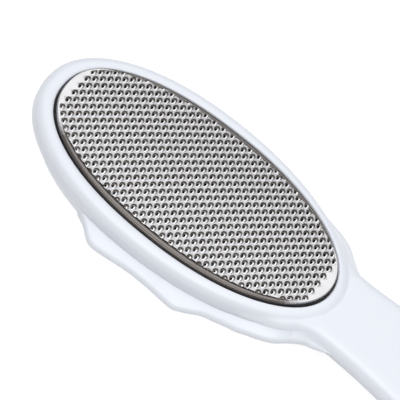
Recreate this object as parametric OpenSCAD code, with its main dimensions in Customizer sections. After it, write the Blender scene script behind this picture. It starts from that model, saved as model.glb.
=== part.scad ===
// Foot file: an oval head with an etched steel file plate in a white moulded rim,
// a pull-off catch tray with a winged edge under it, and a hollow two-part handle.
// X runs from the head's tip to the handle's tail, the file plate faces up, and the
// part stands on the table at height zero.

/* [Head] */
// Length of the whole file, from the head's tip to the handle's tail
overall_l = 250; // [200:1:280]
// Length from the head's tip to its widest line
tip_l = 44.14; // [38:0.5:50]
// Length from the widest line to the head's end, under the neck
heel_l = 47.96; // [42:0.5:54]
// Half of the head's width, at the outer wall
head_half_w = 24.64; // [20:0.2:29]
// Height of the split between the rim's wall and the tray
split_z = 12.1; // [11:0.1:14]
// Height of the rim's crest over the split
rim_h = 5.35; // [4.4:0.05:6.2]
// Radius that rolls the crest over into the outer wall
rim_r = 2.67; // [1.5:0.05:3.2]
// Thickness of the wall under the rim
wall_t = 2.2; // [1.6:0.1:2.8]

/* [Opening] */
// Half of the opening's length
open_half_l = 42.1; // [40:0.1:42.6]
// How far the opening's middle lies behind the middle of the head
open_shift = 0.7; // [0.1:0.05:0.9]
// Half of the opening's width
open_half_w = 20.87; // [19:0.05:21.4]
// How far the opening's edge lies under the crest
edge_drop = 0.34; // [0.3:0.02:1]
// Width of the ledge that carries the cartridge
ledge_w = 2.3; // [1.6:0.1:3]
// Thickness of that ledge
ledge_t = 1.6; // [1:0.1:2.2]
// Depth from the opening's edge to the ledge
ledge_depth = 2.2; // [1.5:0.1:2.4]

/* [File plate] */
// Radius of the sheet's bend across the head
dome_r = 314; // [200:5:600]
// Height of the sheet's crown over the rim's crest
crown_h = 1.14; // [0.8:0.05:1.8]
// Thickness of the steel sheet
sheet_t = 0.4; // [0.3:0.05:0.6]
// Gap between the skirt and the opening's long sides
side_gap = 0.4; // [0.3:0.05:1]
// Gap between the skirt and the opening's two ends
end_gap = 0.65; // [0.5:0.05:1.8]
// Height of the skirt, from the sheet's top
skirt_h = 2.4; // [2:0.1:3]

/* [Carrier] */
// Thickness of the carrier's standing wall
carrier_wall_t = 1.4; // [1:0.1:2]
// Thickness of the carrier's base flange
carrier_base_t = 1.1; // [0.8:0.05:1.15]
// Thickness of each cross rib
rib_t = 1.6; // [1:0.1:2.4]
// Distance from one cross rib to the next
rib_pitch = 21; // [16:0.5:26]
// Width of each spring leg
leg_w = 6; // [4:0.5:9]
// Thickness of each spring leg
leg_t = 1.2; // [0.9:0.1:1.6]
// Reach of each spring leg under the ledge
leg_reach = 2; // [1:0.1:3]
// Running clearance round the cartridge and the tray's collar
play = 0.15; // [0.1:0.01:0.25]

/* [Catch tray] */
// Thickness of the tray's walls and floor
tray_t = 1.8; // [1.4:0.1:2.4]
// Reach of the finger lobes beyond the head's wall
lobe_reach = 4.25; // [3:0.05:5.5]
// How far the tray's edge lies inside the wall at the tip
tip_inset = 0.6; // [0.3:0.05:1]
// How far that edge draws in on its way down, as a share of its height
tip_tuck = 0.45; // [0:0.05:0.6]
// Radius of the winged edge
lip_r = 1.5; // [1.1:0.05:1.7]
// Slope of the winged edge, in degrees below level
lip_slope = 24; // [10:1:30]
// Inset of the belly's side from the head's wall, under the winged edge
belly_in = 2.4; // [1.6:0.1:3]
// Inset of the belly's flat bottom from the head's wall
floor_in = 6.9; // [5:0.1:8]
// Height at which the belly starts to curve under
belly_h = 7.6; // [6:0.1:8]
// How straight the belly's side slopes in: 0 is a quarter round, 1 is a plain slope
belly_slope = 0.7; // [0:0.05:0.9]
// Run of the belly's slope up to the handle
belly_run = 14; // [10:0.5:18]
// Height of the collar that stands up inside the wall
collar_h = 1.1; // [0.6:0.05:1.2]
// Thickness of that collar
collar_t = 1.5; // [1:0.1:2]

/* [Handle] */
// Half of the handle's width at the neck
neck_half_w = 11.6; // [10.5:0.1:12.6]
// How much the handle swells to each side behind the neck
swell = 4; // [2.5:0.1:5]
// How much each side draws in again towards the tail
draw_in = 1.6; // [0.5:0.1:2.5]
// Height of the handle's top at the neck
neck_top_z = 16.4; // [15.6:0.1:17]
// Height of the handle's underside at the neck
neck_low_z = 8.6; // [7:0.1:9.4]
// Height of the handle's top at the tail
tail_top_z = 10; // [9:0.1:12]
// Height of the split between the halves at the tail
tail_split_z = 5; // [4.4:0.1:5.6]
// Radius along the handle's upper edges
top_r = 3; // [2:0.1:3.4]
// How far the lower half's sides draw in on their way down
low_in = 5; // [3:0.1:5.6]
// Length of the rounded tail
tail_l = 22; // [17:0.5:26]
// Thickness of the handle's walls
shell_t = 2; // [1.6:0.1:2.4]

/* [Fixings] */
// Radius of the hang hole
hang_r = 4; // [3:0.1:4.6]
// Distance from the tail to the hang hole's centre
hang_in = 13; // [11:0.5:16]
// Thickness of the wall round the hang hole
hang_wall = 2; // [1.5:0.1:2.6]
// Distance from the head's end to the neck screw
neck_screw_in = 16; // [12:0.5:20]
// Distance from the tail to the tail screw
tail_screw_in = 36; // [30:0.5:48]
// Radius of a screw's shank
screw_r = 1.1; // [0.9:0.05:1.3]
// Radius of a screw's head
screw_head_r = 2.2; // [1.9:0.05:2.5]
// Height of a screw's head
screw_head_h = 1.3; // [1:0.05:1.6]
// Thickness of the wall round each screw
boss_t = 1.6; // [1.2:0.1:2]

/* [Hidden] */
white = "whitesmoke";
steel = "silver";
$fn = 48;
// Overrun of every cut, and the slack of faces that meet in one body
cut = 1;
fit = 0.05;
// Powers of the head's oval, of the opening's two halves and of the tail
tip_power = 2.15;
heel_power = 2.05;
open_tip_power = 2.25;
open_heel_power = 2.07;
tail_power = 2.4;
// Stations along the head, the neck and the handle, and steps round an edge
head_n = 44;
neck_n = 8;
handle_n = 28;
edge_n = 5;
// Places along X
tip_x = -overall_l / 2;
tail_x = overall_l / 2;
wide_x = tip_x + tip_l;
heel_x = wide_x + heel_l;
head_x = (tip_x + heel_x) / 2;
back_x = heel_x + play;
open_x = head_x + open_shift;
hang_x = tail_x - hang_in;
neck_screw_x = heel_x + neck_screw_in;
tail_screw_x = tail_x - tail_screw_in;
screw_xs = [neck_screw_x, (neck_screw_x + tail_screw_x) / 2, tail_screw_x];
// Heights
rim_z = split_z + rim_h;
edge_z = rim_z - edge_drop;
ledge_z = edge_z - ledge_depth;
crown_z = rim_z + crown_h;
// The neck's outline: places as shares of heel_l from the widest line, half-widths as
// shares of the way from the handle's width to the oval's
neck_place_shares = [0.61, 0.67, 0.73, 0.795, 0.86, 0.92, 0.98, 1.045];
neck_width_shares = [1, 0.915, 0.79, 0.67, 0.485, 0.2, 0.035, 0];
// The winged edge: places as shares of tip_l or heel_l from the widest line, and its
// overhang as shares of lobe_reach, behind the plain part at the tip
wing_place_shares = [-0.472, -0.38, -0.29, -0.223, -0.166, -0.087, 0.045, 0.17,
    0.295, 0.347, 0.42, 0.483, 0.566, 0.67, 0.795, 0.92, 1];
wing_reach_shares = [-0.05, 0.4, 0.82, 0.87, 0.777, 0.647, 0.706, 0.918, 1, 0.8,
    0.588, 0.588, 0.588, 0.494, 0.376, 0.1];

// Smooth step from 0 to 1
function ease(t) = let(c = max(0, min(1, t))) c * c * (3 - 2 * c);
// Half-width of an oval of half-length a, half-width b and power n
function oval(u, a, b, n) = b * pow(max(0, 1 - pow(min(1, abs(u) / a), n)), 1 / n);
// Height at x of a smooth curve through the points (xs, ys)
function seat(x, xs) = max([for (i = [0:len(xs) - 2]) x >= xs[i] ? i : 0]);
function slope_at(i, xs, ys) = let(a = max(0, i - 1), b = min(len(xs) - 1, i + 1))
    (ys[b] - ys[a]) / (xs[b] - xs[a]);
function curve(x, xs, ys) = let(i = seat(x, xs), h = xs[i + 1] - xs[i],
    t = max(0, min(1, (x - xs[i]) / h)), m0 = slope_at(i, xs, ys) * h,
    m1 = slope_at(i + 1, xs, ys) * h)
    (2 * pow(t, 3) - 3 * t * t + 1) * ys[i] + (pow(t, 3) - 2 * t * t + t) * m0
    + (3 * t * t - 2 * pow(t, 3)) * ys[i + 1] + (pow(t, 3) - t * t) * m1;

// Half-width of the head's oval wall
function wall_w(x) = x < wide_x ? oval(x - wide_x, tip_l, head_half_w, tip_power)
    : oval(x - wide_x, heel_l, head_half_w, heel_power);
// Half-width of the body: the oval, the neck and the handle with its round tail
neck_places = [for (s = neck_place_shares) wide_x + s * heel_l];
neck_widths = [for (s = neck_width_shares)
    neck_half_w + s * (wall_w(neck_places[0]) - neck_half_w)];
neck_x = neck_places[len(neck_places) - 1];
grip_l = tail_x - neck_x;
function grip_w(x) = neck_half_w + swell * ease((x - neck_x) / (grip_l / 3))
    - draw_in * ease((x - neck_x - grip_l * 0.4) / (grip_l / 2));
function body_w(x) = x < neck_places[0] ? wall_w(x)
    : x < neck_x ? curve(x, neck_places, neck_widths)
    : grip_w(x) * oval(max(0, x - tail_x + tail_l), tail_l, 1, tail_power);
// Heights of the handle's top, of its underside and of the seam between its halves
function top_z(x) = neck_top_z
    - (neck_top_z - tail_top_z) * ease((x - neck_x - grip_l * 0.2) / (grip_l * 0.76));
function low_z(x) = neck_low_z * (1 - ease((x - neck_x) / (grip_l * 0.65)));
function seam_z(x) = split_z
    - (split_z - tail_split_z) * ease((x - neck_x - grip_l * 0.06) / (grip_l * 0.7));
// Overhang of the winged edge beyond the body's outline
wing_places = [for (s = wing_place_shares) wide_x + s * (s < 0 ? tip_l : heel_l)];
wing_reaches = concat(-tip_inset, lobe_reach * wing_reach_shares);
function reach(x) = x < wing_places[0] ? -tip_inset : curve(x, wing_places, wing_reaches);

// Stations from a to b, closer together at the ends
function stations(a, b, n) = [for (i = [0:n]) (a + b) / 2 - (b - a) / 2 * cos(180 * i / n)];
// Half outlines, lists of [x, half-width] from the head's tip to the tail
head_h = [for (x = stations(tip_x, heel_x, head_n)) [x, wall_w(x)]];
tray_h = [for (x = stations(tip_x, heel_x, head_n)) [x, body_w(x)]];
back_h = [for (x = stations(back_x, tail_x, handle_n)) [x, body_w(x)]];
top_h = concat([for (i = [0:neck_n - 1]) let(
    x = neck_places[0] + (back_x - neck_places[0]) * i / neck_n) [x, body_w(x)]], back_h);
void_h = [for (x = stations(neck_x + shell_t, tail_x, handle_n)) [x, body_w(x)]];

// Outward direction at point i of a half outline, along X or Y at its two ends
function normal(h, i) = i > 0 && i < len(h) - 1
    ? let(t = h[i + 1] - h[i - 1]) [-t[1], t[0]] / norm(t)
    : h[i][1] > fit ? [0, 1] : [i == 0 ? -1 : 1, 0];
// The same half outline, drawn in by d
function inset(h, d) = [for (i = [0:len(h) - 1]) h[i] - d * normal(h, i)];
function level(h, z) = [for (p = h) [p[0], p[1], z]];
function at_top(h, drop) = [for (p = h) [p[0], p[1], top_z(p[0]) - drop]];
function at_seam(h, drop) = [for (p = h) [p[0], p[1], seam_z(p[0]) - drop]];
// A share of the way up the lower half's side, over a floor that lies higher by lift
function at_side(h, share, lift) = [for (p = h) let(z = low_z(p[0]) + lift)
    [p[0], p[1], z + share * (seam_z(p[0]) - fit - z)]];
// Closed loop of points from a half outline with heights
function ring(h) = concat(h, [for (i = [len(h) - 1:-1:0]) if (h[i][1] > fit)
    [h[i][0], -h[i][1], h[i][2]]]);
// Solid between stacked half outlines, closed by strips across the first and the last.
// Seen from above, the loops run clockwise and go up on the outside.
module stack(halves) {
    loops = [for (h = halves) ring(h)];
    n = len(loops[0]);
    m = (len(loops) - 1) * n;
    pointed = halves[0][0][1] < fit ? 0 : 1;
    sides = [for (k = [0:n:m - n], i = [0:n - 1]) let(j = (i + 1) % n)
        each [[k + i, k + j, k + n + j], [k + i, k + n + j, k + n + i]]];
    strips = [for (i = [0:len(halves[0]) - 2]) let(j = i + 1,
        i2 = (n - pointed - i) % n, j2 = (n - pointed - j) % n)
        each [[i, j2, j], [i, i2, j2]]];
    first = [for (f = strips) if (f[0] != f[1] && f[1] != f[2] && f[0] != f[2]) f];
    last = [for (f = first) [m + f[0], m + f[2], m + f[1]]];
    polyhedron([for (l = loops) each l], concat(sides, first, last), convexity = 8);
}
// Angles of an edge's steps, from 0 to 90
turns = [for (k = [0:edge_n]) 90 * k / edge_n];

// Oval prism drawn in from the opening, d at the sides and e at the ends
module oval_prism(d, e, z0, z1) {
    translate([open_x, 0, z0]) linear_extrude(z1 - z0) polygon([for (i = [0:95])
        let(c = cos(360 * i / 96), s = sin(360 * i / 96),
            n = c < 0 ? open_tip_power : open_heel_power)
        [sign(c) * (open_half_l - e) * pow(abs(c), 2 / n),
         sign(s) * (open_half_w - d) * pow(abs(s), 2 / n)]]);
}
// Everything under the bent sheet's top, or under a line that lies lower by drop
module under_sheet(drop) {
    translate([tip_x - cut, 0, crown_z - dome_r]) rotate([0, 90, 0])
        cylinder(r = dome_r - drop, h = tip_l + heel_l + 2 * cut, $fn = 720);
}
module post(x, r, z0, z1) {
    translate([x, 0, z0]) cylinder(r = r, h = z1 - z0);
}

// Solid oval of the head, with its rolled rim
module head_blank() {
    land = head_half_w - open_half_w - rim_r;
    stack(concat([level(head_h, split_z)],
        [for (a = turns) level(inset(head_h, rim_r * (1 - cos(a))), rim_z - rim_r * (1 - sin(a)))],
        [level(inset(head_h, rim_r + land / 2), rim_z - edge_drop / 4),
         level(inset(head_h, rim_r + land), edge_z),
         level(inset(head_h, rim_r + 2 * land), edge_z - edge_drop)]));
}
// Upper half of the neck and handle, and the hollow in it
module handle_top() {
    stack(concat([at_seam(top_h, 0)],
        [for (a = turns) at_top(inset(top_h, top_r * (1 - cos(a))), top_r * (1 - sin(a)))]));
}
module handle_top_void() {
    h = inset(void_h, shell_t);
    stack([at_seam(h, cut), at_top(h, shell_t + top_r / 2),
        at_top(inset(h, top_r / 2), shell_t)]);
}
// One moulding: the rim with its ledge, the neck and the handle's upper half
module upper_shell() {
    color(white) difference() {
        union() {
            head_blank();
            difference() {
                handle_top();
                handle_top_void();
            }
            for (x = screw_xs) post(x, screw_r + boss_t, seam_z(x) + fit, top_z(x) - shell_t / 2);
        }
        oval_prism(0, 0, ledge_z, crown_z);
        oval_prism(ledge_w, ledge_w, split_z - cut, ledge_z + cut);
        stack([level(inset(head_h, wall_t), split_z - cut),
            level(inset(head_h, wall_t), ledge_z - ledge_t)]);
        for (x = screw_xs) post(x, screw_r + fit, split_z - rim_z, top_z(x) - shell_t);
        post(hang_x, hang_r + hang_wall + play, -cut, crown_z);
    }
}
// Lower half of the handle, with the screws' wells and the hang hole's sleeve
module handle_back() {
    h = inset(void_h, shell_t);
    color(white) difference() {
        union() {
            difference() {
                stack([for (a = turns) at_side(inset(back_h, low_in * (1 - a / 90)),
                    1 - cos(a), 0)]);
                stack(concat([for (a = turns) at_side(inset(h, low_in * (1 - a / 90)),
                    1 - cos(a), shell_t)], [at_seam(h, -cut)]));
            }
            for (x = screw_xs) post(x, screw_head_r + boss_t, low_z(x) + fit, seam_z(x) - fit);
            post(hang_x, hang_r + hang_wall, 0, tail_top_z);
        }
        for (x = screw_xs) {
            post(x, screw_r + fit, low_z(x) - cut, seam_z(x) + cut);
            post(x, screw_head_r + fit, low_z(x) - cut, low_z(x) + 2 * screw_head_h);
        }
        post(hang_x, hang_r, -cut, tail_top_z + cut);
    }
}

// Belly of the tray: its outline draws in and its heel runs forward towards the floor
function belly(h, d) = [for (a = turns) let(
    s = (1 - belly_slope) * (1 - cos(a)) + belly_slope * sin(a),
    g = inset(h, d + belly_in + (floor_in - belly_in) * s))
    [for (p = g) [p[0] - belly_run * s * ease((p[0] - head_x) / (heel_x - head_x)), p[1],
        d + belly_h * (1 - sin(a))]]];
function reversed(v) = [for (i = [len(v) - 1:-1:0]) v[i]];
// Offset and height of the lip at angle a of its round, beside the body at x
function lip_flare(x) = max(0, min(1, reach(x) / lip_r));
function lip_tuck(x) = tip_tuck * max(0, min(1, -reach(x) / tip_inset));
function lip(a) = [for (i = [0:len(tray_h) - 1]) let(p = tray_h[i], o = reach(p[0]),
    z = split_z - tan(lip_slope) * max(0, o - lip_r) - lip_r / cos(lip_slope) + lip_r * sin(a),
    off = o - lip_r * (1 - cos(a)) * lip_flare(p[0]) - lip_tuck(p[0]) * (split_z - z),
    g = o < 0 ? p + off * normal(tray_h, i) : p + [0, off])
    [g[0], g[1], z]];
module catch_tray() {
    color(white) difference() {
        union() {
            stack(concat(reversed(belly(tray_h, 0)), [for (k = [-2:3]) lip(k * 22)],
                [[for (i = [0:len(tray_h) - 1]) let(p = tray_h[i])
                    concat(p + min(0, reach(p[0])) * normal(tray_h, i), split_z)]]));
            stack([level(inset(head_h, wall_t + play), split_z - lip_r),
                level(inset(head_h, wall_t + play), split_z + collar_h)]);
        }
        stack(concat(reversed(belly(head_h, tray_t)),
            [level(inset(head_h, wall_t + play + collar_t), split_z - lip_r),
             level(inset(head_h, wall_t + play + collar_t), split_z + collar_h + cut)]));
    }
}

// Frame that lies on the ledge and backs the steel sheet from inside its skirt
module plate_carrier() {
    wall_d = side_gap + sheet_t + fit;
    wall_e = end_gap + sheet_t + fit;
    leg_d = ledge_w + play;
    flange_d = leg_d + leg_t;
    color("dimgray") {
        difference() {
            union() {
                oval_prism(play, play, ledge_z, ledge_z + carrier_base_t);
                oval_prism(wall_d, wall_e, ledge_z, crown_z);
            }
            oval_prism(flange_d, flange_d, ledge_z - cut, ledge_z + carrier_base_t + cut);
            oval_prism(wall_d + carrier_wall_t, wall_e + carrier_wall_t,
                ledge_z + carrier_base_t, crown_z + cut);
            over_sheet();
        }
        difference() {
            intersection() {
                oval_prism(wall_d + fit, wall_e + fit, ledge_z - ledge_t, crown_z);
                ribs();
            }
            difference() {
                oval_prism(-cut, -cut, ledge_z - ledge_t - cut, ledge_z);
                oval_prism(leg_d, leg_d, ledge_z - ledge_t - 2 * cut, ledge_z + cut);
            }
            over_sheet();
        }
        difference() {
            intersection() {
                oval_prism(leg_d, leg_d, ledge_z - ledge_t - leg_reach, ledge_z + fit);
                for (x = [-1.5, 1.5]) translate([open_x + x * rib_pitch - leg_w / 2, -head_half_w,
                    ledge_z - ledge_t - leg_reach]) cube([leg_w, 2 * head_half_w, rim_h]);
            }
            oval_prism(leg_d + leg_t, leg_d + leg_t, split_z - cut, crown_z);
        }
    }
}
module ribs() {
    for (k = [-1:1]) translate([open_x + k * rib_pitch - rib_t / 2, -head_half_w,
        ledge_z - ledge_t]) cube([rib_t, 2 * head_half_w, rim_h]);
}
module over_sheet() {
    difference() {
        translate([tip_x, -head_half_w, ledge_z + cut / 2])
            cube([tip_l + heel_l, 2 * head_half_w, rim_h]);
        under_sheet(sheet_t + fit);
    }
}
// Sheet of steel, bent across the head, with its edge folded down into a skirt
module file_plate() {
    color(steel) difference() {
        intersection() {
            oval_prism(side_gap, end_gap, crown_z - skirt_h, crown_z + cut);
            under_sheet(0);
        }
        intersection() {
            oval_prism(side_gap + sheet_t, end_gap + sheet_t, ledge_z, crown_z);
            under_sheet(sheet_t);
        }
    }
}

// Screw with a round head, a cross in it and a plain shank that fills its pilot hole
module screw(x) {
    z = low_z(x) + 2 * screw_head_h;
    color(steel) difference() {
        union() {
            post(x, screw_head_r, z - screw_head_h, z);
            post(x, screw_r, z - fit, top_z(x) - shell_t - fit);
        }
        for (a = [0, 90]) translate([x, 0, z - screw_head_h]) rotate([0, 0, a])
            cube([screw_head_r, screw_r / 2, screw_head_h], center = true);
    }
}
module neck_screw() { screw(screw_xs[0]); }
module grip_screw() { screw(screw_xs[1]); }
module tail_screw() { screw(screw_xs[2]); }

upper_shell();
handle_back();
catch_tray();
plate_carrier();
file_plate();
neck_screw();
grip_screw();
tail_screw();
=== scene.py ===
# %% [markdown]
# # A foot file, dressed for its picture
#
# The object is a foot file made of white plastic mouldings and a sheet of etched steel. An
# oval head carries the steel file plate in a rolled rim, a catch tray with two finger
# lobes is pressed on from below, and a hollow handle in two halves runs back from the
# neck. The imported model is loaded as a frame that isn't moved. Each visible piece is then
# modelled over it, with smooth surfaces and the finish of the real one.

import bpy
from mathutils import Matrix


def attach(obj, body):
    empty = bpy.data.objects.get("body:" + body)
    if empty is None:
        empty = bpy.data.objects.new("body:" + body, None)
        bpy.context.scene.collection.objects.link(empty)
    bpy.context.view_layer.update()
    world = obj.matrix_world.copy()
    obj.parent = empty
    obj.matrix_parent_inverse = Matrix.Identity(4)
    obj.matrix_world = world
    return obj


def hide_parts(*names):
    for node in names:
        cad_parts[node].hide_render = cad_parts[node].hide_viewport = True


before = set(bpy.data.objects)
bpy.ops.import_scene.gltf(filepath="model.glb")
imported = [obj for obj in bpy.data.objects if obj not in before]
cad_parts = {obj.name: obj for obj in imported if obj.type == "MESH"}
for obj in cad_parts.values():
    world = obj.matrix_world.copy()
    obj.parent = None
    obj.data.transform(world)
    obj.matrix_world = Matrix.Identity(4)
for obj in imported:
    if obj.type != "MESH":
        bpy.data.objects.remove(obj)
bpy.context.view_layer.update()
print("nodes:", ", ".join(sorted(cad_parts)))

# %% Libraries and units
from math import cos, pi, radians, sin, tan

import bmesh
import bpy
import numpy as np
from mathutils import Matrix, Vector

MM = 0.001  # the tables below are in millimetres, and Blender works in metres
scene = bpy.context.scene
print("a millimetre is", MM, "of Blender's units")

# %% [markdown]
# ## Tools of the bench
#
# Operators act on everything that is selected, and the loader leaves its nodes selected,
# so one helper leaves a single object selected. Most surfaces here are swept: a profile
# is carried round an outline. By hand that is a grid primitive whose rows are dragged
# into place. The helper does the same with numbers: it adds the grid and lays its points
# on a table of places.

# %% Selecting, and laying a grid
def alone(*objects):
    """Leaves only these objects selected, the first of them active."""
    bpy.ops.object.select_all(action="DESELECT")
    for o in objects:
        o.select_set(True)
    bpy.context.view_layer.objects.active = objects[0] if objects else None


def laid_grid(name, table):
    """A grid primitive with its points laid on table, rows x columns x 3."""
    table = np.asarray(table, float)
    rows, cols = table.shape[:2]
    alone()
    bpy.ops.mesh.primitive_grid_add(x_subdivisions=cols - 1, y_subdivisions=rows - 1, size=2)
    grid = bpy.context.object
    grid.name = name
    grid.data.vertices.foreach_set("co", (table.reshape(-1, 3) * MM).ravel())
    grid.data.update()
    print("laid", name, rows, "x", cols)
    return grid


def placed(plan, z):
    """Places in plan, each with its height z, or all with the same one."""
    return np.column_stack([plan, np.broadcast_to(z, len(plan))])


print("two places at one height:", placed([[0, 0], [1, 0]], 5).tolist())


# %% Welding, mirroring and finishing
WELD_GAP, NO_AREA = 0.004, 0.0005


def in_edit(obj, *steps):
    """Runs edit-mode steps on all of the mesh."""
    alone(obj)
    bpy.ops.object.mode_set(mode="EDIT")
    bpy.ops.mesh.select_all(action="SELECT")
    for step in steps:
        step()
    bpy.ops.object.mode_set(mode="OBJECT")


def welded(name, parts, gap=WELD_GAP):
    """Joins meshes into one, merges points that meet, and turns the faces outwards."""
    alone(*parts)
    if len(parts) > 1:
        bpy.ops.object.join()
    piece = bpy.context.view_layer.objects.active
    piece.name = name
    in_edit(piece, lambda: bpy.ops.mesh.remove_doubles(threshold=gap * MM),
            lambda: bpy.ops.mesh.dissolve_degenerate(threshold=NO_AREA * MM),
            lambda: bpy.ops.mesh.normals_make_consistent(inside=False))
    return piece


def both_halves(name, half):
    """The half on the +Y side and its mirror image, welded on the middle plane."""
    alone(half)
    mod = half.modifiers.new("mirror", "MIRROR")
    mod.use_axis = (False, True, False)
    mod.merge_threshold = WELD_GAP * MM
    bpy.ops.object.modifier_apply(modifier=mod.name)
    return welded(name, [half])


def finished(piece, angle=32):
    """Smooth shading, with crisp edges where faces turn by more than angle."""
    alone(piece)
    bpy.ops.object.shade_smooth_by_angle(angle=radians(angle))
    print(piece.name, len(piece.data.polygons), "faces")


print("points closer than", WELD_GAP, "mm are merged")


# %% Measuring a mesh, and cutting with turned solids
def measured(obj):
    """Prints how many edges are open, which should be none, and the volume in mm3."""
    bm = bmesh.new()
    bm.from_mesh(obj.data)
    loose = sum(len(e.link_faces) < 2 for e in bm.edges)
    print(obj.name, "open edges", loose, "volume", round(bm.calc_volume(signed=True) / MM**3))
    bm.free()


def cut_with(piece, cutter, how="DIFFERENCE"):
    """Boolean of piece with cutter, which is used up."""
    alone(piece)
    mod = piece.modifiers.new("cut", "BOOLEAN")
    mod.operation, mod.object, mod.solver = how, cutter, "EXACT"
    bpy.ops.object.modifier_apply(modifier=mod.name)
    bpy.data.objects.remove(cutter)


def turned(name, x, profile, steps=48):
    """A closed turned solid on an upright axis at x: profile is (radius, height), from
    the foot of the axis to its top."""
    around = [2 * pi * i / steps for i in range(steps + 1)]
    table = [[[x + r * cos(a), r * sin(a), z] for r, z in profile] for a in around]
    return welded(name, [laid_grid(name, table)])


print("an edge is open where fewer than two faces meet")


# %% [markdown]
# ## The outlines that everything follows
#
# In plan the head is an oval that is a little squarer than an ellipse, with its widest
# line nearer to the tip than to the heel, where the neck begins. The neck leaves the oval
# in a hollow curve, and the handle swells, draws in again and ends round. The outlines
# could be traced as curves, but as functions they also give any place on them, so every
# piece can be set against the same edge.

# %% Measures of the shell, in millimetres
# Names end in L for a length or half-length along X, W for a half-width, H or Z for a
# height, T for a thickness, R for a radius, D for a depth and X for a place along X.
OVERALL_L, TIP_L, HEEL_L, HEAD_W = 250, 44.14, 47.96, 24.64
TIP_POWER, HEEL_POWER = 2.15, 2.05  # 2 is an ellipse, more is squarer
SPLIT_Z, RIM_H, RIM_R, WALL_T = 12.1, 5.35, 2.67, 2.2
OPEN_L, OPEN_W, OPEN_SHIFT, EDGE_DROP = 42.1, 20.87, 0.7, 0.34
LEDGE_W, LEDGE_T, LEDGE_D = 2.3, 1.6, 2.2
NECK_W, SWELL, DRAW_IN = 11.6, 4, 1.6
TOP_Z, TOP_FALL, SHOULDER_R = 16.4, 6.4, 3
LOW_Z, TAIL_SEAM_Z, TAIL_L, TAIL_POWER = 8.6, 5, 22, 2.4

TIP_X, TAIL_X = -OVERALL_L / 2, OVERALL_L / 2
WIDE_X = TIP_X + TIP_L
HEEL_X = WIDE_X + HEEL_L
HEAD_X = (TIP_X + HEEL_X) / 2
OPEN_X = HEAD_X + OPEN_SHIFT
RIM_Z = SPLIT_Z + RIM_H
EDGE_Z = RIM_Z - EDGE_DROP
LEDGE_Z = EDGE_Z - LEDGE_D
SHOULDER_Z = TOP_Z - SHOULDER_R
print("head from x", TIP_X, "to", round(HEEL_X, 2), "and its crest at z", RIM_Z)


# %% Curves
def ease(t):
    """Goes softly from 0 to 1 while t does."""
    t = np.clip(t, 0, 1)
    return t * t * (3 - 2 * t)


def oval(u, a, b, power):
    """Half-width at u from the middle of an oval with the half-axes a and b."""
    return b * np.maximum(0, 1 - np.minimum(1, np.abs(u) / a) ** power) ** (1 / power)


def curve(x, xs, ys):
    """A smooth curve through points, with the slope at each point from its neighbours."""
    xs, ys, x = np.asarray(xs, float), np.asarray(ys, float), np.asarray(x, float)
    last = len(xs) - 1
    a, b = np.maximum(0, np.arange(len(xs)) - 1), np.minimum(last, np.arange(len(xs)) + 1)
    slopes = (ys[b] - ys[a]) / (xs[b] - xs[a])
    i = np.clip(np.searchsorted(xs, x, side="right") - 1, 0, last - 1)
    h = xs[i + 1] - xs[i]
    t = np.clip((x - xs[i]) / h, 0, 1)
    return ((2 * t**3 - 3 * t * t + 1) * ys[i] + (t**3 - 2 * t * t + t) * slopes[i] * h
            + (3 * t * t - 2 * t**3) * ys[i + 1] + (t**3 - t * t) * slopes[i + 1] * h)


print("ease at a quarter:", float(ease(0.25)))


# %% The plan: oval, neck and handle
def wall_w(x):
    """Half-width of the head's oval."""
    u = np.asarray(x, float) - WIDE_X
    return np.where(u < 0, oval(u, TIP_L, HEAD_W, TIP_POWER), oval(u, HEEL_L, HEAD_W, HEEL_POWER))


NECK_START = 0.61  # of the way from the widest line to the heel
neck_xs = WIDE_X + HEEL_L * np.array([NECK_START, 0.67, 0.73, 0.795, 0.86, 0.92, 0.98, 1.045])
neck_shares = np.array([1, 0.915, 0.79, 0.67, 0.485, 0.2, 0.035, 0])
neck_ws = NECK_W + neck_shares * (wall_w(neck_xs[0]) - NECK_W)
NECK_X = neck_xs[-1]
GRIP_L = TAIL_X - NECK_X


def body_w(x):
    """Half-width of the whole body: oval, neck, and handle with its round tail."""
    x = np.asarray(x, float)
    grip = (NECK_W + SWELL * ease((x - NECK_X) / (GRIP_L / 3))
            - DRAW_IN * ease((x - NECK_X - GRIP_L * 0.4) / (GRIP_L / 2)))
    grip = grip * oval(np.maximum(0, x - TAIL_X + TAIL_L), TAIL_L, 1, TAIL_POWER)
    return np.where(x < neck_xs[0], wall_w(x),
                    np.where(x < NECK_X, curve(x, neck_xs, neck_ws), grip))


print("neck from x", round(float(neck_xs[0]), 2), "to", round(float(NECK_X), 2))


# %% The side view: top, underside and seam of the handle
def top_z(x):
    """Height of the handle's flat top."""
    return TOP_Z - TOP_FALL * ease((x - NECK_X - GRIP_L * 0.2) / (GRIP_L * 0.76))


def low_z(x):
    """Height of its underside, which comes down to the table at the tail."""
    return LOW_Z * (1 - ease((x - NECK_X) / (GRIP_L * 0.65)))


def seam_z(x):
    """Height of the seam between the two halves."""
    fall = ease((x - NECK_X - GRIP_L * 0.06) / (GRIP_L * 0.7))
    return SPLIT_Z - (SPLIT_Z - TAIL_SEAM_Z) * fall


print("tail from z", float(low_z(TAIL_X)), "to", float(top_z(TAIL_X)))


# %% Places round the oval and in from it
def oval_points(angles):
    """Points of the oval and their outward directions; 180 degrees is the tip, 0 the heel."""
    c, s = np.cos(np.radians(angles)), np.abs(np.sin(np.radians(angles)))
    tip = c < 0
    a, power = np.where(tip, TIP_L, HEEL_L), np.where(tip, TIP_POWER, HEEL_POWER)
    u, y = np.sign(c) * a * np.abs(c) ** (2 / power), HEAD_W * s ** (2 / power)
    out = np.stack([np.sign(c) * np.abs(u / a) ** (power - 1) / a,
                    (y / HEAD_W) ** (power - 1) / HEAD_W], -1)
    return np.stack([u + WIDE_X, y], -1), out / np.linalg.norm(out, axis=-1, keepdims=True)


def open_power(x):
    """The opening's outline is a little squarer in its half at the tip."""
    return np.where(x < OPEN_X, 2.25, 2.07)


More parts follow.
